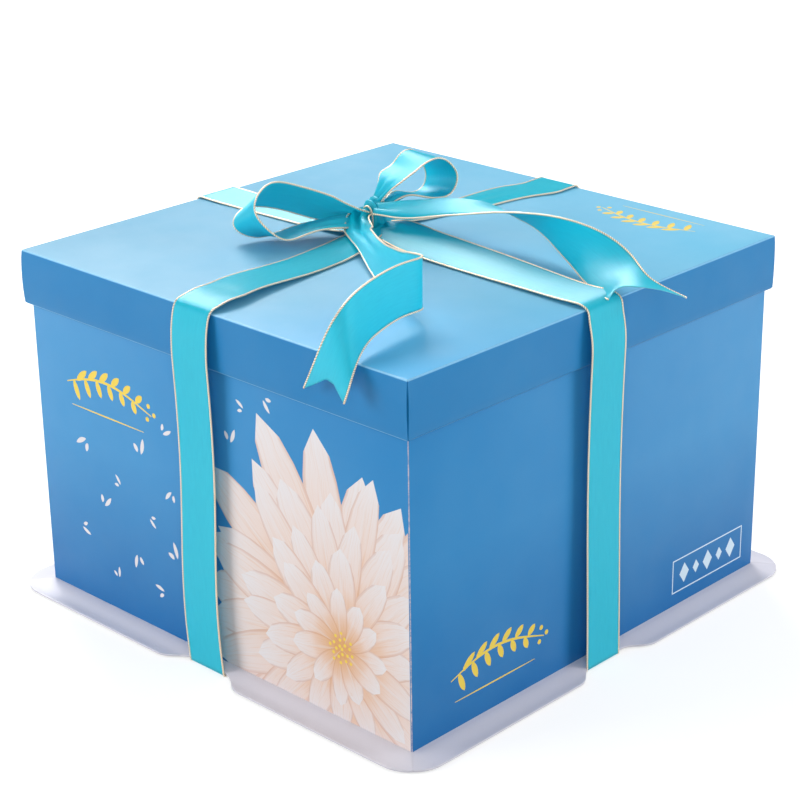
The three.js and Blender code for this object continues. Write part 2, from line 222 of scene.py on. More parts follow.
class Nodes:
    """A short way to write the nodes of a material or of the world."""

    def __init__(self, name, family="materials"):
        self.owner = getattr(bpy.data, family).new(name)
        self.owner.use_nodes = True
        self.tree = self.owner.node_tree
        self.shader = self.tree.nodes.get("Principled BSDF")

    def node(self, kind, inputs=(), **settings):
        """A new node, with what goes into its inputs in their order or by name."""
        node = self.tree.nodes.new("ShaderNode" + kind)
        for key, value in settings.items():
            setattr(node, key, value)
        for key, value in inputs.items() if isinstance(inputs, dict) else enumerate(inputs):
            self.link(value, node.inputs[key])
        return node

    def link(self, source, target):
        if isinstance(source, (int, float)):
            target.default_value = source
        elif isinstance(source, tuple):
            target.default_value = (*source, 1)[:len(target.default_value)]
        else:
            self.tree.links.new(source, target)

    def math(self, operation, *inputs):
        return self.node("Math", inputs, operation=operation).outputs[0]

    def mix(self, share, a, b):
        return self.node("Mix", {0: share, 6: a, 7: b}, data_type="RGBA").outputs[2]

    def span(self, value, low, high, to_low=0, to_high=1):
        return self.node("MapRange", (value, low, high, to_low, to_high)).outputs[0]

    def noise(self, vector, scale, detail=3, roughness=0.5):
        inputs = {"Vector": vector, "Scale": scale, "Detail": detail, "Roughness": roughness}
        return self.node("TexNoise", inputs).outputs["Fac"]

    def scaled(self, vector, factors):
        return self.node("VectorMath", (vector, factors), operation="MULTIPLY").outputs[0]

    def attribute(self, name):
        return self.node("Attribute", attribute_name=name).outputs["Fac"]

    def place(self, kind="Object"):
        return self.node("TexCoord").outputs[kind]

    def parts(self, vector):
        return self.node("SeparateXYZ", (vector,)).outputs

    def bump(self, height, strength, distance, below=None):
        node = self.node("Bump", {"Height": height, "Strength": strength, "Distance": distance * MM})
        if below is not None:
            self.link(below, node.inputs["Normal"])
        return node.outputs[0]

    def output(self, shader):
        self.link(shader.outputs[0], self.tree.nodes["Material Output"].inputs[0])

    def finish(self, colour, roughness, **others):
        for key, value in {"Base_Color": colour, "Roughness": roughness, **others}.items():
            self.link(value, self.shader.inputs[key.replace("_", " ")])
        return self.owner


def linear(red, green, blue):
    """A colour as a screen shows it, from 0 to 255, as the renderer's own values."""
    shares = [value / 255 for value in (red, green, blue)]
    return tuple(s / 12.92 if s <= 0.04045 else ((s + 0.055) / 1.055) ** 2.4 for s in shares)


# Colours
# The lid top's blues carry painted light: partly paler than the skirts, a gradient from left to right, and
# a painted shadow at the near corner
LID_LEFT_PAINTED_LIGHT = linear(94, 158, 190)
LID_RIGHT_PAINTED_LIGHT = linear(103, 185, 220)
LID_CORNER_PAINTED_SHADOW = linear(52, 166, 222)
LID_CLOUD = linear(190, 226, 242)
SKIRT_BLUE = linear(25, 120, 178)
# The walls' blues carry painted shade: darker at the near corner and towards the foot
WALL_NEAR_PAINTED_SHADE = linear(33, 126, 186)
WALL_FAR_PAINTED_LIGHT = linear(66, 144, 198)
WALL_LOW_PAINTED_SHADE = linear(16, 102, 166)
CLOUD = linear(110, 180, 222)
# A painted highlight along the lid's folds
FOLD_PAINTED_HIGHLIGHT = linear(130, 192, 228)
WORN_LIGHT = linear(236, 214, 214)
RAW_CARD = linear(236, 232, 228)
WHITE = linear(214, 212, 222)
SATIN = linear(6, 210, 232)
SATIN_DEEP = linear(0, 188, 216)
SATIN_END = linear(170, 228, 236)
SATIN_THROUGH = linear(8, 232, 244)
SATIN_SHARE = 0.3  # of the light that goes through one face
GOLD = linear(216, 172, 112)
CREAM_THREAD = linear(255, 246, 228)
PETAL_TIP = linear(224, 220, 222)
PETAL_MIDDLE = linear(226, 202, 190)
PETAL_ROOT = linear(214, 158, 100)
PETAL_EDGE = linear(190, 124, 84)
INK_GOLD = linear(234, 204, 74)
INK_WHITE = linear(206, 226, 240)
BOARD = linear(222, 214, 202)
FLOOR_GREY = (0.5, 0.5, 0.5)

# Where the painted light and shade on the print change, in shares of the half side: left to right, and
# towards the near corner
LID_ACROSS_SHARE = 1.6
LID_NEAR_SHARES = (0.9, 2)
WALL_NEAR_SHARES = (0.2, 1.9)
LOW_SHARE = 0.5  # of a panel's height, from its foot


def paper_bump(m, place, strength=0.12):
    """Fine fibre under a broad, hardly visible unevenness."""
    broad = m.bump(m.noise(place, 14, 2), 0.25, 0.5)
    return m.bump(m.noise(place, 1800, 4), strength, 0.05, broad)


def printed_blue_painted_light(name, near, far, low, bottom, height, worn_or_highlight, evenness):
    """Blue print under a matt film: a slow change of tone that is painted shade, darker towards the near
    corner and the foot, and paler along the folds, as wear on the walls and a painted highlight on the
    skirts.
    """
    m = Nodes(name)
    place = m.place()
    x, y, z = m.parts(place)
    # Painted shade: darker towards the near corner and towards the foot
    nearness = m.span(m.math("SUBTRACT", x, y), *(share * HALF * MM for share in WALL_NEAR_SHARES))
    upwards = m.span(z, bottom * MM, (bottom + LOW_SHARE * height) * MM)
    shade = m.mix(upwards, low, m.mix(nearness, far, near))
    cloud = m.span(m.noise(place, 22, 4), 0.35, 0.65, 0, 0.06)
    scuff = m.span(m.noise(place, 420, 5, 0.7), 0.42, 0.62)
    # Paler along the folds: wear on the walls, a painted highlight on the skirts
    wear_or_highlight = m.math("MULTIPLY", m.attribute("fold"), m.span(scuff, 0, 1, evenness, 1))
    colour = m.mix(wear_or_highlight, m.mix(cloud, shade, CLOUD), worn_or_highlight)
    rough = m.span(m.noise(place, 60, 3), 0.3, 0.7, 0.36, 0.46)
    return m.finish(colour, rough, Normal=paper_bump(m, place), Specular_IOR_Level=0.3)


def lid_print_painted_light():
    """The lid's top, paler than the skirts partly as painted light, with a painted light gradient from left
    to right, a painted shadow deeper at the near corner, and a painted highlight along the folds.
    """
    m = Nodes("lid_top_print_painted_light")
    place = m.place()
    x, y, _ = m.parts(place)
    reach = LID_ACROSS_SHARE * HALF * MM
    # A painted light gradient from left to right
    shade = m.mix(m.span(m.math("ADD", x, y), -reach, reach), LID_LEFT_PAINTED_LIGHT, LID_RIGHT_PAINTED_LIGHT)
    near, corner = (share * HALF * MM for share in LID_NEAR_SHARES)
    # A painted shadow, deeper towards the near corner
    shade = m.mix(m.span(m.math("SUBTRACT", x, y), near, corner, 0, 0.9), shade, LID_CORNER_PAINTED_SHADOW)
    tone = m.mix(m.span(m.noise(place, 18, 3), 0.3, 0.7, 0, 0.12), shade, LID_CLOUD)
    # A painted highlight along the folds
    colour = m.mix(m.attribute("fold"), tone, FOLD_PAINTED_HIGHLIGHT)
    rough = m.span(m.noise(place, 60, 3), 0.3, 0.7, 0.4, 0.5)
    return m.finish(colour, rough, Normal=paper_bump(m, place), Specular_IOR_Level=0.16)


def clouded(m, noise, colour, amount, dark):
    """A colour with clouds of a darker one, as strong as the amount."""
    return m.mix(m.span(noise, 0.3, 0.7, 0, amount), colour, tuple(dark * c for c in colour))


def plain_card(name, colour, roughness, grain=0.2):
    """Unprinted board, a little cloudy, and darker along the folds."""
    m = Nodes(name)
    place = m.place()
    shade = clouded(m, m.noise(place, 90, 5, 0.65), colour, 0.16, 0.86)
    tone = m.mix(m.attribute("fold"), shade, tuple(0.8 * c for c in colour))
    rough = m.span(m.noise(place, 300, 3), 0.3, 0.7, roughness - 0.05, roughness + 0.05)
    return m.finish(tone, rough, Normal=paper_bump(m, place, grain))


def ink(name, colour):
    """A plain printed tone, a little uneven."""
    m = Nodes(name)
    place = m.place()
    shade = clouded(m, m.noise(place, 260, 4), colour, 0.14, 0.82)
    return m.finish(shade, 0.42, Normal=paper_bump(m, place))


def petal_ink():
    """Printed petals: amber at the root, cream at the tip, with fine streaks along them."""
    m = Nodes("petal_print")
    uv = m.place("UV")
    u, v, _ = m.parts(uv)
    aside = m.math("ABSOLUTE", v)
    along = m.mix(m.span(u, 0.12, 0.62), PETAL_ROOT, PETAL_MIDDLE)
    along = m.mix(m.span(u, 0.5, 0.95), along, PETAL_TIP)
    drift = m.node("VectorMath", (m.scaled(uv, (2.2, 9, 1)), m.attribute("tone")), operation="ADD")
    streak = m.span(m.noise(drift.outputs[0], 1.6, 4, 0.6), 0.5, 0.75)
    colour = m.mix(m.math("MULTIPLY", streak, m.span(u, 0.2, 1, 0.75, 0.25)), along, PETAL_ROOT)
    colour = m.mix(m.math("MULTIPLY", m.span(aside, 0.82, 1), 0.45), colour, PETAL_EDGE)
    colour = m.mix(m.span(aside, 0, 0.16, 0.35, 0), colour, PETAL_TIP)
    return m.finish(colour, 0.42, Normal=paper_bump(m, m.place()))


def satin():
    """Satin: long floats that spread the light across, fine ribs, a deeper tone in places."""
    m = Nodes("ribbon_satin")
    uv = m.place("UV")
    threads = m.noise(m.scaled(uv, (1.5, 140, 1)), 1, 3)
    slubs = m.noise(m.scaled(uv, (3, 26, 1)), 1, 4)
    colour = m.mix(m.span(slubs, 0.35, 0.75, 0, 0.5), SATIN, SATIN_DEEP)
    colour = m.mix(m.span(threads, 0.4, 0.7, 0, 0.18), colour, SATIN_DEEP)
    ribs = m.node("TexWave", {"Vector": m.scaled(uv, (42, 60, 1)), "Scale": 1, "Distortion": 1.5},
                  wave_type="BANDS", bands_direction="X")
    normal = m.bump(ribs.outputs["Fac"], 0.12, 0.03, m.bump(threads, 0.25, 0.04))
    rough = m.span(slubs, 0.3, 0.7, 0.46, 0.53)
    tangent = m.node("Tangent", direction_type="UV_MAP", uv_map="UVMap")
    through = m.node("BsdfTranslucent", {"Color": SATIN_THROUGH})
    m.output(m.node("MixShader", (SATIN_SHARE, m.shader.outputs[0], through.outputs[0])))
    return m.finish(colour, rough, Normal=normal, Tangent=tangent.outputs[0], Specular_IOR_Level=1, IOR=1.6,
                    Anisotropic=0.88, Anisotropic_Rotation=0.25)


def rope():
    """Gold thread twisted with pale thread."""
    m = Nodes("ribbon_rope")
    u, v, _ = m.parts(m.place("UV"))
    turn = m.math("SINE", m.math("MULTIPLY", m.math("ADD", u, v), 4 * math.pi))
    share = m.span(turn, -0.8, 0.1)
    colour = m.mix(share, GOLD, CREAM_THREAD)
    return m.finish(colour, 0.34, Normal=m.bump(turn, 0.3, 0.1), Metallic=m.span(share, 0, 1, 0.7, 0.1))


def pale_ends():
    """The frayed, paler threads of a cut end."""
    m = Nodes("ribbon_cut")
    cloud = m.noise(m.place(), 1500, 3)
    return m.finish(m.mix(cloud, SATIN_END, SATIN), 0.6)


lid_top_look = lid_print_painted_light()
# The skirts take a painted highlight along their folds
skirt_look = printed_blue_painted_light("lid_skirt_print_fold_highlight", SKIRT_BLUE, SKIRT_BLUE, SKIRT_BLUE,
                          SKIRT_FOOT, LID_TOP - SKIRT_FOOT, FOLD_PAINTED_HIGHLIGHT, 0.9)
# The walls take painted shade towards the near corner and the foot, and real wear along their folds
wall_look = printed_blue_painted_light("wall_print_painted_shade", WALL_NEAR_PAINTED_SHADE, WALL_FAR_PAINTED_LIGHT, WALL_LOW_PAINTED_SHADE,
                         WALL_FOOT, WALL_TOP - WALL_FOOT, WORN_LIGHT, 0.35)
raw_look = plain_card("raw_card", RAW_CARD, 0.7, 0.3)
white_look = plain_card("white_card", WHITE, 0.5)
board_look = plain_card("board_face", BOARD, 0.6, 0.4)
petal_look = petal_ink()
drift_look = ink("drift_print", PETAL_TIP)
gold_ink_look = ink("gold_print", INK_GOLD)
white_ink_look = ink("white_print", INK_WHITE)
satin_look = satin()
rope_look = rope()
cut_look = pale_ends()
PRINT_LOOKS = [wall_look, petal_look, drift_look, gold_ink_look, white_ink_look, raw_look]
PETAL_INK, DRIFT_INK, GOLD_INK, WHITE_INK = 1, 2, 3, 4


def grid_faces(rows, columns, start=0):
    corners = [start + i * columns + j for i in range(rows - 1) for j in range(columns - 1)]
    return [(a, a + 1, a + columns + 1, a + columns) for a in corners]


def tube_faces(rings, around, start=0):
    """Faces between rings of points, each ring with its neighbour."""
    corners = [(start + i * around + k, start + i * around + (k + 1) % around)
               for i in range(rings - 1) for k in range(around)]
    return [(a, b, b + around, a + around) for a, b in corners]


def all_sides(grid):
    """Points and faces of rows of (outwards, sideways, up), repeated on the four sides."""
    points, faces = [], []
    for side in UNIT:
        faces += [f[::-1] for f in grid_faces(len(grid), len(grid[0]), len(points))]
        points += [turned(side, *place) for row in grid for place in row]
    return points, faces


def arc(centre, radius, start, end, steps):
    """Points on an arc of a profile (outwards, up), with angles in degrees."""
    angles = [math.radians(start + (end - start) * i / steps) for i in range(steps + 1)]
    return [tuple(centre + towards(a, radius)) for a in angles]


# Printed shapes, flat on a face: x to the right and y up as one looks at it
def leaf_outline(start, angle, length, width, bend, fullness, tip, steps=9):
    """A pointed leaf or petal from its root, with the function that gives a point's place on it."""
    direction = towards(angle)
    normal = np.array((-direction[1], direction[0]))
    shares = [i / steps for i in range(1, steps)]

    def form(t):
        return t**fullness * (1 - t) ** tip

    peak = max(form(t) for t in np.linspace(0.05, 0.95, 40))

    def point(t, side):
        spread = side * width / 2 * form(t) / peak if 0 < t < 1 else 0
        return np.array(start) + direction * length * t + normal * (spread + bend * t * t)

    def where(p):
        away = np.array(p) - np.array(start)
        t = float(away @ direction) / length
        spread = width / 2 * form(min(max(t, 0.001), 0.999)) / peak
        return t, float(away @ normal - bend * t * t) / max(spread, 0.05)

    outwards = [point(t, -1) for t in shares]
    backwards = [point(t, 1) for t in shares[::-1]]
    return [point(0, 0), *outwards, point(1, 0), *backwards], where


def no_place(p):
    return 0, 0


def rectangle(low, high):
    return [low, (high[0], low[1]), high, (low[0], high[1])]


def printed(made, kind, tone=0):
    """An outline, its ink, the function of its places and its tone."""
    outline, where = made
    return outline, kind, where, tone


def disc_outline(centre, radius, steps):
    turns = np.linspace(0, 2 * math.pi, steps, endpoint=False)
    return [centre + towards(a, radius) for a in turns], no_place


def stroke_outline(points, width):
    """A line of a pen through points, thinner at its ends."""
    points = [np.array(p, float) for p in points]
    left, right = [], []
    for i, p in enumerate(points):
        ahead = points[min(i + 1, len(points) - 1)] - points[max(i - 1, 0)]
        normal = np.array((-ahead[1], ahead[0])) / np.linalg.norm(ahead)
        share = 0.35 + 0.65 * math.sin(math.pi * i / (len(points) - 1))
        left.append(p + normal * width * share / 2)
        right.append(p - normal * width * share / 2)
    return right + left[::-1], no_place


PETAL_FORM = (0.8, 0.55)  # how full a petal is towards its root and towards its tip
HEART_DOTS = 21
HEART_TURN = 137.5  # degrees from one dot to the next
HEART_STEP = 1.9
HEART_DOT = 0.9


def blossom(centre, rings):
    """Rings of pointed petals, the longest below, round a heart of dots."""
    chance = random.Random(11)
    shapes = []
    for count, length, width, first in rings:
        for i in range(count):
            angle = math.radians(first + 360 * i / count + chance.uniform(-3, 3))
            reach = length * chance.uniform(0.86, 1.08)
            bend = length * chance.uniform(-0.09, 0.09)
            breadth = width * chance.uniform(0.85, 1.1)
            made = leaf_outline(centre, angle, reach, breadth, bend, *PETAL_FORM)
            shapes.append(printed(made, PETAL_INK, chance.random()))
    for i in range(HEART_DOTS):
        angle, away = i * math.radians(HEART_TURN), HEART_STEP * math.sqrt(i)
        shapes.append(printed(disc_outline(centre + towards(angle, away), HEART_DOT, 8), GOLD_INK))
    return shapes


# The two leaves of a drifting pair: turn in degrees, length share and how far aside it starts, as a share
DRIFT_PAIR = ((0, 1, 0), (38, 0.55, 0.3))
DRIFT_ASIDE = 100  # degrees between the first leaf and the way to the second
DRIFT_WIDTH_SHARE = 0.3
DRIFT_BEND_SHARE = 0.12
DRIFT_FORM = (0.8, 0.8)


def drifting(places):
    """Loose slim petals with a short one beside each. Each place: x, y, length, angle in degrees."""
    shapes = []
    for x, y, length, angle in places:
        aside = math.radians(angle + DRIFT_ASIDE)
        for turn, share, away in DRIFT_PAIR:
            start = (x, y) + towards(aside, away * length)
            made = leaf_outline(start, math.radians(angle + turn), length * share,
                                length * DRIFT_WIDTH_SHARE, length * DRIFT_BEND_SHARE, *DRIFT_FORM)
            shapes.append(printed(made, DRIFT_INK))
    return shapes


# A sprig, in shares of its width
SPRIG_LEAVES = (0.1, 0.24, 0.38, 0.52, 0.66, 0.8)
SPRIG_BERRIES = ((0.47, 0.03), (0.53, -0.03), (0.45, -0.08))
SPRIG_RULE = (-0.46, 0.4, -0.2)  # from x to x, at y
SPRIG_FORM = (0.7, 0.7)


def sprig(centre, width, turn=0):
    """A small ornament: a curved twig with leaves on both sides, three berries and a rule below it."""
    spin = math.radians(turn)

    def put(x, y):
        x, y = x * width, y * width
        return (centre[0] + x * math.cos(spin) - y * math.sin(spin),
                centre[1] + x * math.sin(spin) + y * math.cos(spin))

    def twig(s):
        return -0.5 + s, 0.1 * math.sin(3.4 * s) - 0.02

    stem = [put(*twig(s)) for s in np.linspace(0, 1, 15)]
    made = [stroke_outline(stem, 0.022 * width)]
    for i, s in enumerate(SPRIG_LEAVES):
        x, y = twig(s)
        for side in (1, -1):
            angle = side * 0.95 - 0.25 + spin
            length = width * (0.17 - 0.013 * i)
            root = put(x + 0.02 * side, y)
            made.append(leaf_outline(root, angle, length, width * 0.055, 0, *SPRIG_FORM, 7))
    made += [disc_outline(put(x, y), 0.02 * width, 10) for x, y in SPRIG_BERRIES]
    start, end, level = SPRIG_RULE
    made.append(stroke_outline([put(x, level) for x in np.linspace(start, end, 9)], 0.012 * width))
    return [printed(one, GOLD_INK) for one in made]


PANEL_LINE = 0.7
PANEL_MARKS = 5
LOZENGE = ((-0.7, 0), (0, -1), (0.7, 0), (0, 1))
LOZENGE_SHARES = (0.3, 0.2)  # of the frame's height, taken in turn


def small_panel(low, high):
    """A thin white frame with a row of lozenges."""
    (x0, y0), (x1, y1) = low, high
    line = PANEL_LINE
    made = []
    for a, b in (((x0, y0), (x1, y0 + line)), ((x0, y1 - line), (x1, y1)),
                 ((x0, y0 + line), (x0 + line, y1 - line)), ((x1 - line, y0 + line), (x1, y1 - line))):
        made.append(rectangle(a, b))
    for i in range(PANEL_MARKS):
        centre = np.array((x0 + (x1 - x0) * (i + 1) / (PANEL_MARKS + 1), (y0 + y1) / 2))
        size = (y1 - y0) * LOZENGE_SHARES[i % 2]
        made.append([centre + size * np.array(d) for d in LOZENGE])
    return [printed((corners, no_place), WHITE_INK) for corners in made]


def clipped(outline, low, high):
    """An outline cut to a rectangle."""
    outline = [np.array(p) for p in outline]
    for axis, limit, sign in ((0, low[0], 1), (0, high[0], -1), (1, low[1], 1), (1, high[1], -1)):
        kept = []
        for i, p in enumerate(outline):
            q = outline[i - 1]
            inside_p, inside_q = sign * (p[axis] - limit) >= 0, sign * (q[axis] - limit) >= 0
            if inside_p != inside_q:
                kept.append(q + (limit - q[axis]) / (p[axis] - q[axis]) * (p - q))
            if inside_p:
                kept.append(p)
        outline = kept
        if len(outline) < 3:
            return []
    return outline


def printed_face(low, high, shapes, border=None):
    """A rectangle split along the outlines on it: points, triangles, and their inks, places and tones."""
    kept = [(border or rectangle(low, high), 0, no_place, 0)]
    for outline, kind, where, tone in shapes:
        inside = clipped(outline, low, high)
        if inside:
            kept.append((inside, kind, where, tone))
    points, rings = [], []
    for outline, *_ in kept:
        area = sum(outline[i - 1][0] * p[1] - p[0] * outline[i - 1][1] for i, p in enumerate(outline))
        ordered = outline if area > 0 else outline[::-1]
        rings.append(list(range(len(points), len(points) + len(ordered))))
        points += [Vector((float(p[0]), float(p[1]))) for p in ordered]
    made, _, triangles, _, _, sources = geometry.delaunay_2d_cdt(points, [], rings, 1, 1e-4, True)
    inks, places, tones = [], [], []
    for triangle, found in zip(triangles, sources):
        _, kind, where, tone = kept[max(found, default=0)]
        inks.append(kind)
        tones.append(tone)
        places += [where(made[v]) for v in triangle]
    return [tuple(p) for p in made], [tuple(t) for t in triangles], inks, places, tones


def mark(obj, name, domain, values):
    layer = obj.data.attributes.new(name, "FLOAT", domain)
    layer.data.foreach_set("value", values)


def mark_folds(obj, wear_or_highlight):
    """Marks each point with the share of wear, or of a painted highlight along a fold, that the given
    function of the point in millimetres gives.
    """
    mark(obj, "fold", "POINT", [wear_or_highlight(np.array(v.co) / MM) for v in obj.data.vertices])


def reach_of(p):
    """How far out a point is, towards the side that it is nearest."""
    return max(abs(p[0]), abs(p[1]))


def off_corner(p):
    """How far a point is from the nearer of the two diagonals, measured along a side."""
    return abs(abs(p[0]) - abs(p[1]))


# Lid
def bulge(side, along, up):
    """How far a skirt stands out at a place: its two ends and its middle differ."""
    start, middle, end = BULGE[side]
    share = along / HALF
    amount = middle + (end - middle) * max(share, 0) ** 2 + (start - middle) * max(-share, 0) ** 2
    return amount * math.sin(math.pi * min(max((LID_TOP - up) / (LID_TOP - SKIRT_FOOT), 0), 1)) ** 0.8


def skirt_rows(layers):
    """A skirt from the top's edge to its hem's end: rows of outwards, up and half of the row's length."""
    radius = layers * CARD / 2 + HEM_SLACK
    bend = arc((HALF - FOLD, LID_TOP - FOLD), FOLD, 90, 0, FOLD_STEPS)
    heights = np.linspace(LID_TOP - FOLD, SKIRT_FOOT + radius, SKIRT_ROWS + 1)
    hem = arc((HALF - radius, SKIRT_FOOT + radius), radius, 0, -180, HEM_STEPS)
    rows = [(out, up, out - SEAM * i / FOLD_STEPS) for i, (out, up) in enumerate(bend)]
    for i in range(1, SKIRT_ROWS + 1):
        rows.append((HALF, heights[i], HALF - SEAM - SEAM_BOW * math.sin(math.pi * i / SKIRT_ROWS)))
    rows += [(out, up, HALF - SEAM - HEM_INSET * i / HEM_STEPS) for i, (out, up) in enumerate(hem)][1:]
    return rows + [(HALF - 2 * radius, HEM_TOP, HALF - HEM_INSET)]


LID_SPRIG = ((70, 112), 62, 180)  # place, width and turn


def make_lid():
    flat = HALF - FOLD
    turns = [j / SIDE_COLUMNS for j in range(-SIDE_COLUMNS, SIDE_COLUMNS + 1)]
    border = [turned(side, flat, flat * t, 0)[:2] for side in ROUND for t in turns[:-1]]
    made, faces, inks, *_ = printed_face((-flat, -flat), (flat, flat), sprig(*LID_SPRIG), border)
    points = [(x, y, LID_TOP) for x, y in made]
    indices = [{0: 0, GOLD_INK: 2}[i] for i in inks]
    for side, layers in HEM_LAYERS.items():
        rows = skirt_rows(layers)
        start = len(points)
        for out, up, half in rows:
            for t in turns:
                swell = bulge(side, t * half, up) if up < LID_TOP - FOLD else 0
                points.append(turned(side, out + swell, t * half, up))
        strip = [face[::-1] for face in grid_faces(len(rows), len(turns), start)]
        faces += strip
        indices += [1] * len(strip)
    looks = [lid_top_look, skirt_look, gold_ink_look, raw_look]
    lid = new_object("lid_card", points, faces, looks, indices)
    weld(lid)
    # The lid's folds are marked for a painted highlight
    ridge, rim = LID_TOP - LID_HIGHLIGHT_DOWN, SKIRT_FOOT + HEM_HIGHLIGHT_UP
    mark_folds(lid, lambda p: float(reach_of(p) > flat + LID_HIGHLIGHT_PAST and p[2] > ridge or p[2] < rim))
    thicken(lid, CARD, 3)
    soften(lid)
    parts = [f"lid_{part}_{side}" for part in ("skirt", "hem") for side in ROUND]
    dress(lid, "lid", "lid_card", "lid_top", *parts)
    for end in ("front", "back"):
        for side in ("left", "right"):
            repaint(f"lid_tab_{end}_{side}", skirt_look)


def repaint(node, look):
    """A solid that keeps its shape gets a finished material."""
    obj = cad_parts[node]
    obj.data.materials.clear()
    obj.data.materials.append(look)


# Walls: places on a face from its middle and its foot, and the blossom's rings as blossom() takes them
FRONT_RINGS = ((23, 108, 25, 4), (21, 90, 23, 12), (18, 70, 20, 3), (14, 50, 17, 9), (11, 32, 13, 0))
FRONT_BLOSSOM = (88, 38)
FRONT_SPRIG = ((-75, 122), 66)
RIGHT_SPRIG = ((-73, 28), 66)
RIGHT_PANEL = ((62, 8), (122, 27))
DRIFT_PLACES = (
    (-96, 92, 9, 200), (-84, 58, 8, 40), (-70, 74, 6, 120), (-60, 38, 8, 250), (-52, 96, 9, 70),
    (-48, 62, 6, 310), (-40, 24, 7, 160), (-34, 112, 7, 20), (-28, 46, 9, 100), (-30, 82, 7, 220),
    (16, 122, 8, 60), (26, 142, 6, 140), (40, 150, 7, 300), (-76, 20, 6, 80), (8, 104, 6, 190),
    (-104, 40, 7, 330),
)


def make_walls():
    flat, height = WALL_HALF - FOLD, WALL_TOP - WALL_FOOT
    front = blossom(FRONT_BLOSSOM, FRONT_RINGS) + drifting(DRIFT_PLACES) + sprig(*FRONT_SPRIG)
    right = sprig(*RIGHT_SPRIG) + small_panel(*RIGHT_PANEL)
    shapes = {"right": right, "back": front, "left": right, "front": front}
    points, faces, indices, uvs, tones = [], [], [], [], []
    for side in UNIT:
        made, triangles, inks, places, face_tones = printed_face((-flat, 0), (flat, height), shapes[side])
        start = len(points)
        points += [turned(side, WALL_HALF, x, WALL_FOOT + y) for x, y in made]
        faces += [tuple(start + v for v in t) for t in triangles]
        indices += inks
        uvs += places
        tones += face_tones
        start = len(points)
        for out, along in arc((flat, flat), FOLD, 0, 90, FOLD_STEPS):
            points += [turned(side, out, along, up) for up in (WALL_FOOT, WALL_TOP)]
        corner = [(a, a + 2, a + 3, a + 1) for a in range(start, start + 2 * FOLD_STEPS, 2)]
        faces += corner
        indices += [0] * len(corner)
        uvs += [(0, 0)] * (4 * len(corner))
        tones += [0] * len(corner)
    walls = new_object("wall_sleeve", points, faces, PRINT_LOOKS, indices, uvs)
    mark(walls, "tone", "FACE", tones)
    weld(walls)
    past, near = flat + WALL_WEAR_PAST, WALL_WEAR_REACH
    mark_folds(walls, lambda p: float(min(abs(p[0]), abs(p[1])) > past and off_corner(p) < near))
    thicken(walls, CARD, len(PRINT_LOOKS), len(PRINT_LOOKS), even=False)
    soften(walls)
    dress(walls, "walls", "printed_card", *[f"wall_{side}" for side in UNIT])
    repaint("wall_glue_flap", raw_look)


# Tray
def brim_limit(along):
    """How far out the brim reaches at a place along a side: a notch in the middle, rounded corners."""
    away = abs(along)
    straight = BRIM_HALF - CORNER_RADIUS
    if away > straight:
        return straight + math.sqrt(max(CORNER_RADIUS**2 - (away - straight) ** 2, 0))
    slope = NOTCH_DEPTH / ((NOTCH_MOUTH - NOTCH_FLOOR) / 2)
    notch = min(BRIM_HALF - NOTCH_DEPTH + max(away - NOTCH_FLOOR / 2, 0) * slope, BRIM_HALF)
    for centre, sign in ((NOTCH_FLOOR / 2, 1), (NOTCH_MOUTH / 2, -1)):
        near = max(0, NOTCH_RADIUS - abs(away - centre))
        notch += sign * near * near / (4 * NOTCH_RADIUS) * slope
    return notch


def brim_height(out):
    inner = TRAY_HALF - TRAY_CARD
    shelf, land = inner + BRIM_SHELF, BRIM_HALF - BRIM_LAND
    fall = min(max((out - shelf) / (land - shelf), 0), 1)
    return BRIM_TOP - (BRIM_TOP - TRAY_CARD) * fall * fall * (3 - 2 * fall)


def make_brim():
    inner = TRAY_HALF - TRAY_CARD
    corner_reach = BRIM_HALF - CORNER_RADIUS * (1 - math.sqrt(0.5))
    bounds = (0, NOTCH_MOUTH / 2 + NOTCH_RADIUS, inner, corner_reach)
    spans = zip(bounds, bounds[1:], COLUMN_COUNTS)
    stops = sorted({round(s, 3) for low, high, count in spans for s in np.linspace(low, high, count)})
    columns = [-s for s in stops[:0:-1]] + stops
    grid = []
    for along in columns:
        low, limit = max(inner, abs(along)), brim_limit(along)
        gaps = [(1 - i / BRIM_ROWS) ** 1.3 for i in range(BRIM_ROWS + 1)]
        outs = [low + max(limit - low, 0) * (1 - gap) for gap in gaps]
        grid.append([(out, along, brim_height(out)) for out in outs])
    brim = new_object("tray_brim_card", *all_sides(grid), [white_look])
    weld(brim, 0.02)
    mark_folds(brim, lambda p: MITRE_WEAR if off_corner(p) < MITRE_WEAR_REACH else 0)
    thicken(brim, TRAY_CARD, even=False)
    modify(brim, "BEVEL", width=RIM_BEVEL * MM, segments=2, angle_limit=math.radians(RIM_ANGLE))
    soften(brim)
    dress(brim, "tray", "white_card", *[f"tray_brim_{side}" for side in UNIT])


def make_deck():
    flat = TRAY_HALF - TRAY_FOLD
    turns = [j / DECK_COLUMNS for j in range(-DECK_COLUMNS, DECK_COLUMNS + 1)]
    rows = [(flat * i / DECK_ROWS, DECK_TOP) for i in range(DECK_ROWS + 1)]
    rows += arc((flat, DECK_TOP - TRAY_FOLD), TRAY_FOLD, 90, 0, FOLD_STEPS)[1:]
    rows.append((TRAY_HALF, BRIM_TOP + DECK_GAP))
    grid = [[(out, t * out, up) for t in turns] for out, up in rows]
    deck = new_object("tray_deck_card", *all_sides(grid), [white_look])
    weld(deck)
    past, ridge = flat + DECK_WEAR_PAST, DECK_TOP - DECK_WEAR_DOWN
    mark_folds(deck, lambda p: DECK_WEAR if reach_of(p) > past and p[2] > ridge else 0)
    thicken(deck, TRAY_CARD - DECK_THINNER)
    soften(deck)
    dress(deck, "tray", "white_card", "tray_deck", *[f"tray_side_{side}" for side in UNIT])
    repaint("cake_board", board_look)


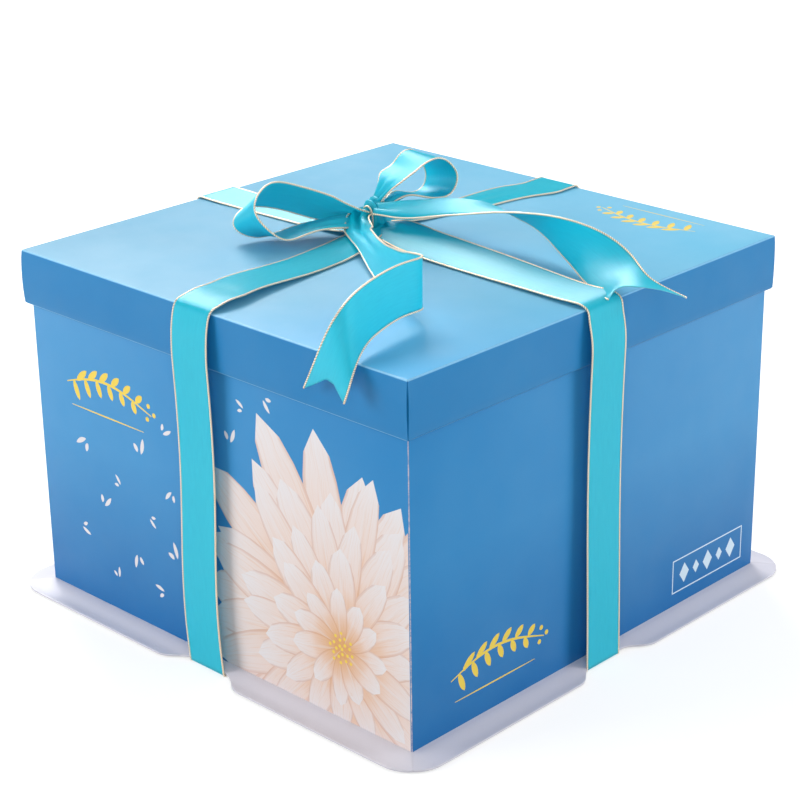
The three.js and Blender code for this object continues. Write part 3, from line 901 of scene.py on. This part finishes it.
# Ribbon
def spline(keys, values, wanted):
    """A natural cubic spline through rows of values at the keys."""
    keys, values = np.array(keys, float), np.array(values, float)
    gaps, count = np.diff(keys), len(keys)
    matrix, target = np.eye(count), np.zeros_like(values)
    for i in range(1, count - 1):
        matrix[i, i - 1:i + 2] = gaps[i - 1], 2 * (gaps[i - 1] + gaps[i]), gaps[i]
        slopes = [(values[k + 1] - values[k]) / gaps[k] for k in (i - 1, i)]
        target[i] = 6 * (slopes[1] - slopes[0])
    bend = np.linalg.solve(matrix, target)
    at = np.clip(np.searchsorted(keys, wanted) - 1, 0, count - 2)
    gap = gaps[at][:, None]
    before, after = (wanted - keys[at])[:, None], (keys[at + 1] - wanted)[:, None]
    curve = (bend[at] * after**3 + bend[at + 1] * before**3) / (6 * gap)
    lines = [(values[i] / gap - bend[i] * gap / 6) * way for i, way in ((at, after), (at + 1, before))]
    return curve + lines[0] + lines[1]


def unit_rows(rows):
    return rows / np.linalg.norm(rows, axis=1, keepdims=True)


class Strip:
    """A strip of ribbon through stations: place, direction across, shares of width, arch and groove.

    Its end is cut off by pairs of the place across and the share of the ribbon's width.
    """

    def __init__(self, stations, cuts):
        self.rows = np.array([(*row, *FULL_STATION[len(row) - 6:]) for row in stations], float)
        steps = np.linalg.norm(np.diff(self.rows[:, :3], axis=0), axis=1)
        self.rows[:, 3:6] = unit_rows(self.rows[:, 3:6])
        self.keys = np.concatenate([[0], np.cumsum(steps)])
        self.length = float(self.keys[-1])
        self.cuts = list(zip(*cuts))

    def reach(self, across):
        return self.length - np.interp(across, *self.cuts) * RIBBON

    def at(self, distances, across):
        """Points and normals at distances along the strip, at one place across it from -1 to 1."""
        distances = np.asarray(distances, float)
        values = spline(self.keys, self.rows, distances)
        centre, side = values[:, :3], unit_rows(values[:, 3:6])
        behind, ahead = (spline(self.keys, self.rows, np.clip(distances + step, 0, self.length))[:, :3]
                         for step in (-LOOK_AHEAD, LOOK_AHEAD))
        normal = unit_rows(np.cross(side, ahead - behind))
        width, arch, groove = (np.interp(distances, self.keys, self.rows[:, k]) for k in (6, 7, 8))
        width = np.clip(width, 0.1, 1)
        pleat = PLEAT * (1 - width) ** 1.2 * math.cos(PLEATS * math.pi * across)
        dip = math.exp(-((across - GROOVE_AT) / GROOVE_SPREAD) ** 2)
        offset = (arch * RIBBON * (1 - across**2) + pleat - groove * RIBBON * dip)[:, None]
        return centre + side * (across * width * RIBBON / 2)[:, None] + normal * offset, normal


def make_strip(name, stations, nodes, cuts=SQUARE_END, body="ribbon"):
    """A strip with the rope along its edges."""
    strip = Strip(stations, cuts)
    count = max(8, round(strip.length / STEP))
    grid = np.zeros((count + 1, COLUMNS, 3))
    uvs = np.zeros((count + 1, COLUMNS, 2))
    for j, across in enumerate(np.linspace(-1, 1, COLUMNS)):
        distances = np.linspace(0, strip.reach(across), count + 1)
        grid[:, j], _ = strip.at(distances, across * (1 - 2 * ROPE / RIBBON))
        uvs[:, j, 0], uvs[:, j, 1] = distances / RIBBON, (across + 1) / 2
    faces = grid_faces(count + 1, COLUMNS)
    flat_uvs = uvs.reshape(-1, 2)
    face_uvs = [flat_uvs[v] for f in faces for v in f]
    piece = new_object(name, grid.reshape(-1, 3), faces, [satin_look, cut_look], None, face_uvs)
    thicken(piece, RIBBON_CARD, 0, 1, even=False, offset=0)
    piece.data.shade_smooth()
    dress(piece, body, "satin_ribbon", *nodes)
    edge = make_rope(name + "_rope", strip)
    dress(edge, body, "satin_ribbon")


def make_rope(name, strip):
    """Two strands twisted round each other along both edges of a strip."""
    points, faces, uvs = [], [], []
    shares = np.arange(ROPE_SIDES + 1) / ROPE_SIDES
    for across in (-1, 1):
        count = round(strip.reach(across) / ROPE_STEP)
        distances = np.linspace(0, strip.reach(across), count + 1)
        line, normal = strip.at(distances, across * (1 - ROPE / RIBBON))
        tangent = unit_rows(np.gradient(line, axis=0))
        side = unit_rows(np.cross(tangent, normal))
        up = np.cross(side, tangent)
        start = len(points)
        faces += tube_faces(count + 1, ROPE_SIDES, start)
        for i, distance in enumerate(distances):
            turn = 2 * math.pi * distance / ROPE_PITCH
            for angle in 2 * math.pi * shares[:-1]:
                radius = ROPE * (1 - ROPE_STRAND * (0.5 + 0.5 * math.cos(2 * (angle - turn))))
                points.append(line[i] + radius * (side[i] * math.cos(angle) + up[i] * math.sin(angle)))
        for u0, u1 in zip(distances / ROPE_PITCH, distances[1:] / ROPE_PITCH):
            for v0, v1 in zip(shares, shares[1:]):
                uvs += [(u0, v0), (u0, v1), (u1, v1), (u1, v0)]
        for first in (start, start + count * ROPE_SIDES):
            faces.append(tuple(range(first, first + ROPE_SIDES)))
            uvs += [(0, 0)] * ROPE_SIDES
    edge = new_object(name, points, faces, [rope_look], None, uvs)
    rework(edge, lambda made: bmesh.ops.recalc_face_normals(made, faces=made.faces))
    edge.data.shade_smooth()
    return edge


# Bow: x and y in shares of the piece's reach from its start, height above the lid in shares of the ribbon's
# width, the direction across, and the shares of width, arch and groove where they aren't 1, 0 and 0
LEFT_LOOP = (
    (-0.07, -0.03, 0.5, 0.5, -0.7, 0.4, 0.3), (-0.16, -0.15, 0.54, 0.55, -0.6, 0.6, 0.68),
    (-0.3, -0.27, 0.6, 0.5, -0.4, 0.75, 0.93), (-0.58, -0.49, 0.82, 0.6, -0.3, 0.75),
    (-0.69, -0.64, 0.92, 0.65, -0.25, 0.7), (-0.72, -0.81, 0.87, 0.8, -0.2, 0.6),
    (-0.67, -0.94, 0.59, 0.82, -0.15, 0.54), (-0.56, -0.87, 0.31, 0.82, -0.37, 0.44),
    (-0.46, -0.72, 0.2, 0.84, -0.52, 0.14), (-0.36, -0.55, 0.3, 0.84, -0.53, 0.09, 0.93, 0.03),
    (-0.25, -0.37, 0.36, 0.84, -0.54, 0.02, 0.72, 0.06), (-0.08, -0.1, 0.36, 0.78, -0.5, -0.37, 0.42, 0.05),
)
BACK_LOOP = (
    (-0.045, 0.02, 0.72, 0.9, -0.3, 0.2, 0.28, 0.04), (-0.02, 0.09, 0.96, 0.92, -0.4, 0.07, 0.6, 0.03),
    (0.01, 0.19, 1.19, 0.95, -0.31, 0.04, 0.93), (0.06, 0.36, 1.34, 0.95, -0.31, 0.09),
    (0.1, 0.52, 1.52, 0.97, -0.24, 0.04), (0.14, 0.71, 1.55, 0.98, -0.21, 0.05),
    (0.17, 0.85, 1.35, 0.98, -0.12, 0.12), (0.2, 0.93, 1.06, 0.99, -0.09, 0.1),
    (0.2, 0.86, 0.79, 0.98, -0.16, 0.09), (0.18, 0.67, 0.71, 0.98, -0.19, 0.12),
    (0.12, 0.49, 0.77, 0.96, -0.24, 0.12, 0.93), (0.07, 0.29, 0.84, 0.94, -0.29, 0.16, 0.72),
    (0.03, 0.08, 0.68, 0.83, -0.37, 0.2, 0.4),
)
FRONT_TAIL = (
    (-0.122, -0.015, 0.55, 1, 0.1, 0, 0.3, -0.02), (-0.144, -0.06, 0.52, 0.97, 0.2, 0, 0.46, -0.03),
    (-0.104, -0.11, 0.4, 0.92, 0.3, 0.12, 0.62, -0.05, -0.05),
    (-0.055, -0.158, 0.39, 0.92, -0.02, 0.33, 0.82, -0.06, -0.08),
    (0.022, -0.215, 0.43, 0.865, -0.256, 0.433, 1, -0.06, -0.08),
    (0.126, -0.276, 0.41, 0.85, -0.25, 0.47, 1, -0.04, -0.03),
    (0.26, -0.36, 0.43, 0.74, -0.13, 0.66, 1, -0.02), (0.42, -0.455, 0.52, 0.5, 0, 0.86),
    (0.58, -0.53, 0.66, 0.06, 0.04, 1), (0.66, -0.57, 0.74, -0.03, 0.04, 1),
    (0.678, -0.67, 0.78, -0.05, 0.03, 1), (0.695, -0.8, 0.75, -0.1, 0, 1),
    (0.725, -0.925, 0.66, -0.17, -0.04, 0.97), (0.755, -1.03, 0.4, -0.45, 0.02, 0.87),
    (0.725, -1.065, -0.2, -0.8, 0.1, 0.56), (0.655, -1.05, -0.88, -0.9, 0.03, 0.42),
)
RIGHT_TAIL = (
    (-0.09, -0.02, 0.55, 0.3, -0.9, 0, 0.36, 0.12), (0.01, 0.04, 0.61, 0.1, -0.97, -0.18, 0.7, 0.22),
    (0.12, 0.11, 0.65, 0, -0.98, -0.05, 1, 0.27), (0.26, 0.15, 0.76, 0, -0.98, 0.06, 1, 0.18),
    (0.38, 0.165, 0.78, 0.1, -0.9, 0.34, 1, 0.06), (0.46, 0.16, 0.82, 0.27, -0.83, 0.48),
    (0.55, 0.167, 0.78, 0.38, -0.65, 0.66), (0.65, 0.17, 0.67, 0.42, -0.33, 0.84),
    (0.76, 0.162, 0.53, 0.42, 0.08, 0.9), (0.85, 0.145, 0.4, 0.36, 0.48, 0.8),
    (0.95, 0.11, 0.28, 0.22, 0.8, 0.56), (1.055, 0.07, 0.2, 0.12, 0.95, 0.2, 1, -0.04),
    (1.13, 0.085, 0.14, 0.1, 0.97, 0, 1, -0.08), (1.192, 0.09, 0.07, 0.1, 0.97, 0, 1, -0.08),
)
FRONT_CUTS = ((-1, 0.6), (-0.25, 0.7), (0.2, 0.62), (1, 0))
RIGHT_CUTS = ((-1, 0.95), (-0.5, 1.05), (-0.1, 0.95), (0.5, 0.38), (1, 0))
KNOT = np.array((-13, 0))
LOOP_REACH = {"left": 60, "back": 40}


def stations_from(rows, origin, reach):
    """Stations from shares of a reach and of the ribbon's width."""
    x0, y0 = origin
    return [(x0 + x * reach, y0 + y * reach, LID_TOP + z * RIBBON, *rest) for x, y, z, *rest in rows]


def make_bow():
    for name, rows in (("left", LEFT_LOOP), ("back", BACK_LOOP)):
        stations = stations_from(rows, KNOT, LOOP_REACH[name])
        make_strip(f"bow_loop_{name}", stations, [f"ribbon_loop_{name}"])
    for name, rows, cuts in (("front", FRONT_TAIL, FRONT_CUTS), ("right", RIGHT_TAIL, RIGHT_CUTS)):
        stations = stations_from(rows, (0, 0), HALF)
        make_strip(f"bow_tail_{name}", stations, [f"ribbon_tail_{name}"], cuts)


# Knot: the gathered ends, and the strip that goes once over them
KNOT_ASIDE = (-2, -0.5)
KNOT_UP = 8.5
KNOT_RADIUS = 4.6
KNOT_RISE = 8
KNOT_RINGS = 14
KNOT_AROUND = 28
KNOT_PLEATS = 7
KNOT_PLEAT = 0.12
WRAP_PLACES = (
    (-19.3, -1.4, 9), (-19.4, -1.6, 15), (-18.2, -1.8, 17.8), (-15.8, -1.9, 18.9), (-13.3, -2, 17.8),
    (-12.2, -1.8, 15), (-12.4, -1.4, 9),
)
WRAP_ACROSS = (0.19, 0.89, 0.41)
WRAP_WIDTH = 0.34


def make_knot():
    points = []
    for i in range(KNOT_RINGS + 1):
        polar = math.pi * i / KNOT_RINGS
        for j in range(KNOT_AROUND):
            angle = 2 * math.pi * j / KNOT_AROUND
            pleat = 1 + KNOT_PLEAT * math.cos(KNOT_PLEATS * angle) * math.sin(polar)
            out = KNOT_RADIUS * pleat * math.sin(polar)
            x, y = KNOT + KNOT_ASIDE + towards(angle, out)
            points.append((x, y, LID_TOP + KNOT_UP + KNOT_RISE * math.cos(polar)))
    faces = [f[:1] + f[:0:-1] for f in tube_faces(KNOT_RINGS + 1, KNOT_AROUND)]
    uvs = [((v // KNOT_AROUND) / KNOT_RINGS, (v % KNOT_AROUND) / KNOT_AROUND) for f in faces for v in f]
    knot = new_object("bow_knot", points, faces, [satin_look], None, uvs)
    weld(knot)
    knot.data.shade_smooth()
    dress(knot, "ribbon", "satin_ribbon", "ribbon_knot")
    wrap = [(x, y, LID_TOP + z, *WRAP_ACROSS, WRAP_WIDTH) for x, y, z in WRAP_PLACES]
    make_strip("bow_wrap", wrap, [])


# Bands: where each lies at the lid's edge and at the notch, along the side, in shares of the ribbon's width
BAND_EDGE = {"front": -0.1, "right": -0.15, "back": 0.3, "left": 0.14}
BAND_NOTCH = {"front": 0, "right": -0.16, "back": 0, "left": 0}
# A run on the lid: the way out from the knot, the way over, and the arch, in shares
RUN = (
    (0, 0, -0.04), (0.07, 0.07, -0.08), (0.15, 0.15, -0.07), (0.3, 0.3, -0.05), (0.55, 0.58, -0.03),
    (0.8, 0.87, -0.02),
)
LEVEL = (0,) * len(RUN)
# At those stations: how far up, how wide, how far aside and how much the far edge is raised, in shares
RUN_UP_START = (0.13, 0.1, 0.05, 0.01)
RUN_UP = {"front": (0.04, 0.12), "right": (0.01, 0.03), "back": (0, 0), "left": (0, 0)}
RUN_WIDTH = {
    "front": (0.5, 0.65, 0.88, 1, 1, 1),
    "right": (0.7, 0.85, 0.95, 1, 1, 1),
    "back": (0.3, 0.3, 0.4, 0.62, 0.85, 1),
    "left": (0.45, 0.6, 0.88, 1, 1, 1),
}
RUN_ASIDE = {"back": (0.1, 0.36, 0.42, 0.4, 0.28, 0.14)}
RUN_SLOPE = {"right": (0.16, 0.25, 0.24, 0.2, 0.13, 0.02)}
RUN_LIFT = 0.7
RUN_CROSSING = {"front": 1.5, "back": 1.5}  # the rise at the knot, where one run crosses the other
# The bend over the lid's edge: outwards from the lid's side and up from its top
BEND_HUMPED = (
    (-20, 3.9), (-12, 3.8), (-8, 3.3), (-4, 2.5), (-0.3, 1.4), (1.6, -0.7), (2.7, -4), (3.7, -9),
    (4.3, -15), (4.6, -22), (4.3, -32),
)
BEND_LOOSE = (
    (-16, 1.7), (-7, 2), (-1.7, 1.5), (1.2, -0.3), (2.2, -4), (3.6, -11), (4.4, -17), (4.4, -27),
)
BEND_CLOSE = (
    (-16, 0.9), (-8, 1), (-3, 1.1), (-0.4, 0.9), (1.2, -0.5), (1.8, -3), (2.2, -8), (2.5, -20),
    (2.9, -30),
)
BEND = {"front": BEND_HUMPED, "right": BEND_LOOSE, "back": BEND_CLOSE, "left": BEND_CLOSE}
HANG = (3.4, -90)  # a last place, where every band hangs free
NOTCH_STAND = 0.8  # the ribbon's middle outside the notch's floor
STAND = BRIM_HALF - NOTCH_DEPTH + NOTCH_STAND
LOW_TURN = 18  # the height above the walls' foot where a band begins to move over to its notch
LOW_TURN_IN = 0.5
DROP_END = 1  # below the walls' foot
# The passes under the tray: the heights of their middles, and the way round from the notch, inwards and up
UNDER_LOW = 0.75
UNDER_HIGH = 1.5
UNDER_START = 1.2  # below the walls' foot
UNDER_TURN = ((0.4, 0.2), (1.8, 0), (5, 0), (14, 0))
UNDER_HALFWAY = 60
UNDER_CROSSING = 20


def band_path(side):
    """Stations of a band from the knot over the lid's edge and down to its notch."""
    edge, notch = BAND_EDGE[side] * RIBBON, BAND_NOTCH[side] * RIBBON
    knot_out, knot_along = (float(KNOT @ np.array(way)) for way in UNIT[side])
    path = []
    slopes, strays = RUN_SLOPE.get(side, LEVEL), RUN_ASIDE.get(side, LEVEL)
    tables = (RUN, RUN_UP_START + RUN_UP[side], RUN_WIDTH[side], slopes, strays)
    for (out, over, arch), up, width, slope, aside in zip(*tables):
        crossing = RUN_CROSSING.get(side, 0) * max(0, 1 - out / RUN[3][0])
        along = knot_along + (edge - knot_along) * over + aside * RIBBON
        raised = LID_TOP + RUN_LIFT + crossing + (up + slope * width / 2) * RIBBON
        path.append((knot_out + (HALF - knot_out) * out, along, raised, slope, width, arch))
    path += [(HALF + out, edge, LID_TOP + up, 0) for out, up in (*BEND[side], HANG)]
    path.append((STAND - LOW_TURN_IN, edge, WALL_FOOT + LOW_TURN, 0))
    path.append((STAND, notch, WALL_FOOT - DROP_END, 0))
    return [(*turned(side, *place[:3]), *UNIT[side][1], *place[3:]) for place in path]


UNDER = {"across": ("left", "right", UNDER_LOW), "along": ("front", "back", UNDER_HIGH)}


def make_bands():
    for side in UNIT:
        nodes = [f"ribbon_run_{side}", f"ribbon_drop_{side}"]
        make_strip(f"band_{side}", band_path(side), nodes)
    for name, (first, last, middle) in UNDER.items():
        rows = []
        for side, order in ((first, 1), (last, -1)):
            notch = BAND_NOTCH[side] * RIBBON
            across = [order * share for share in UNIT[side][1]]
            part = [(STAND, notch, WALL_FOOT - UNDER_START)]
            part += [(STAND - inwards, notch, UNDER_LOW + up) for inwards, up in UNDER_TURN]
            part += [(UNDER_HALFWAY, notch / 2, UNDER_LOW), (UNDER_CROSSING, 0, middle)]
            rows += [(*turned(side, *place), *across, 0) for place in part][::order]
        make_strip(f"band_under_{name}", rows, [f"ribbon_under_{name}"],
                   body="tray")


# Stage, light and camera
CAMERA_AT = (0.7304, -0.7515, 0.5258)
CAMERA_TURN = (67.9755, 0.773, 43.9072)
LENS = 97.65
SENSOR = 36
FLOOR_HALF = 3000
# Lamps: place and what they face, in metres, size and power
LAMPS = {
    "key": ((-1.0, 0.6, 1.27), (0, 0, 0.19), 0.7, 16),
    "sheen": ((-0.8, 0.1, 1.2), (0, 0, 0.19), 0.9, 24),
    "overhead": ((0, 0.2, 1.6), (0, 0, 0.19), 1.2, 3),
    "left_fill": ((-0.9, -1.3, 0.6), (0, 0, 0.1), 0.9, 15.5),
    "right_fill": ((1.3, 0.9, 0.6), (0, 0, 0.1), 0.9, 13.5),
    "front_fill": ((1.2, -1.2, 0.9), (0, 0, 0.15), 1.1, 9.5),
}
SOFT_LAMPS = ("left_fill", "right_fill", "front_fill")  # too wide to show in a gloss
GLOSS_LAMPS = ("sheen",)  # shown in a gloss alone
WORLD_LEVEL = 0.36
WORLD_ABOVE = 0.1  # what a gloss shows of the dark room above the white backdrop
BACKDROP_TOP = (0.25, 0.55)  # where the backdrop fades into it, as the sine of the height
FLOOR_FADE = (0.5, 1.5)  # the distances over which its own glow grows to white
FLOOR_GLOW = 0.62  # what the floor adds for those rays near the object, where it still shows a shadow


def shown_rays(m):
    """One for the rays that show the backdrop: those of the eye, of a gloss and of a clear part."""
    rays = m.node("LightPath").outputs
    level = m.math("MAXIMUM", rays["Is Camera Ray"], rays["Is Glossy Ray"])
    return m.math("MAXIMUM", level, rays["Is Transmission Ray"])


def make_floor():
    m = Nodes("floor_white")
    distance = m.node("VectorMath", (m.place(),), operation="LENGTH").outputs["Value"]
    level = m.span(distance, *FLOOR_FADE, FLOOR_GLOW, 1)
    glow = m.node("Emission", {"Strength": m.math("MULTIPLY", shown_rays(m), level)})
    m.output(m.node("AddShader", (m.shader.outputs[0], glow.outputs[0])))
    corners = [(x * FLOOR_HALF, y * FLOOR_HALF, 0) for x, y in ((-1, -1), (1, -1), (1, 1), (-1, 1))]
    floor = new_object("floor", corners, [(0, 1, 2, 3)], [m.finish(FLOOR_GREY, 0.9)])


def make_world():
    """White for the rays that show it, but darker high up; a plain level of light for the others."""
    m = Nodes("studio", "worlds")
    bpy.context.scene.world = m.owner
    height = m.parts(m.place("Generated"))[2]
    backdrop = m.span(height, *BACKDROP_TOP, 1, WORLD_ABOVE)
    background = m.tree.nodes["Background"].inputs
    m.link(m.span(shown_rays(m), 0, 1, WORLD_LEVEL, backdrop), background["Strength"])
    m.link((1, 1, 1), background["Color"])


def make_lamps():
    for name, (at, target, size, power) in LAMPS.items():
        lamp = bpy.data.lights.new(name, "AREA")
        lamp.size = size
        lamp.energy = power
        holder = add_object(name, lamp)
        holder.location = at
        holder.rotation_euler = (Vector(target) - Vector(at)).to_track_quat("-Z", "Y").to_euler()
        holder.visible_glossy = name not in SOFT_LAMPS
        holder.visible_diffuse = name not in GLOSS_LAMPS
        holder.visible_transmission = name not in GLOSS_LAMPS


def make_camera():
    camera = add_object("camera", bpy.data.cameras.new("camera"))
    camera.location = CAMERA_AT
    camera.rotation_euler = [math.radians(a) for a in CAMERA_TURN]
    camera.data.lens = LENS
    camera.data.sensor_width = SENSOR
    bpy.context.scene.camera = camera


make_lid()
make_walls()
make_brim()
make_deck()
make_knot()
make_bands()
make_bow()
make_floor()
make_world()
make_lamps()
make_camera()
bpy.context.scene.view_settings.view_transform = "Standard"
